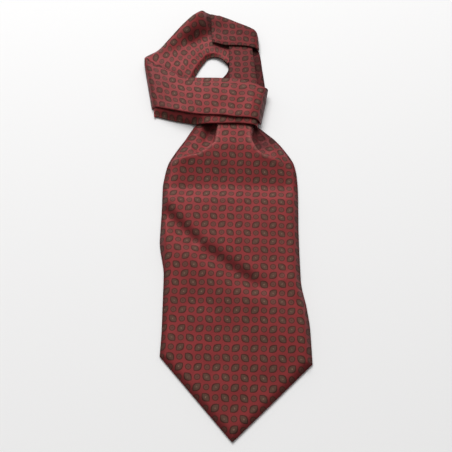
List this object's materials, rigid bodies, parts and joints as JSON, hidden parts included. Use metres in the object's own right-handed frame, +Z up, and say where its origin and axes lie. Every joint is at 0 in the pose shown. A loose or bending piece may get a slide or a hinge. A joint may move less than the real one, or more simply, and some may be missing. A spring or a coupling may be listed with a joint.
{
  "type": "silk cravat",
  "caption": "Pleated silk ascot cravat with a pointed blade, its neck band wound round into a loop, lying flat and face up.",
  "frame": {"origin": "centre of the bounding box at its base, on the surface that the cravat lies on", "axes": "+Y along the cravat from its point to its neck loop, +Z up out of the surface, +X to the right seen from above"},
  "size_m": [0.1844, 0.5378, 0.0184],
  "materials": {
    "printed_silk": "printed silk twill, brick red with small brown ovals, soft low sheen",
    "hidden_silk": "the same printed silk twill, on the back and in the folded layers"
  },
  "bodies": {
    "root": {"blade_front": "printed_silk", "blade_back": "hidden_silk", "band_front": "printed_silk", "band_front_under": "printed_silk", "band_left": "printed_silk", "band_right": "printed_silk", "band_top": "printed_silk", "knot_core": "hidden_silk", "loop_core": "hidden_silk"}
  },
  "joints": []
}
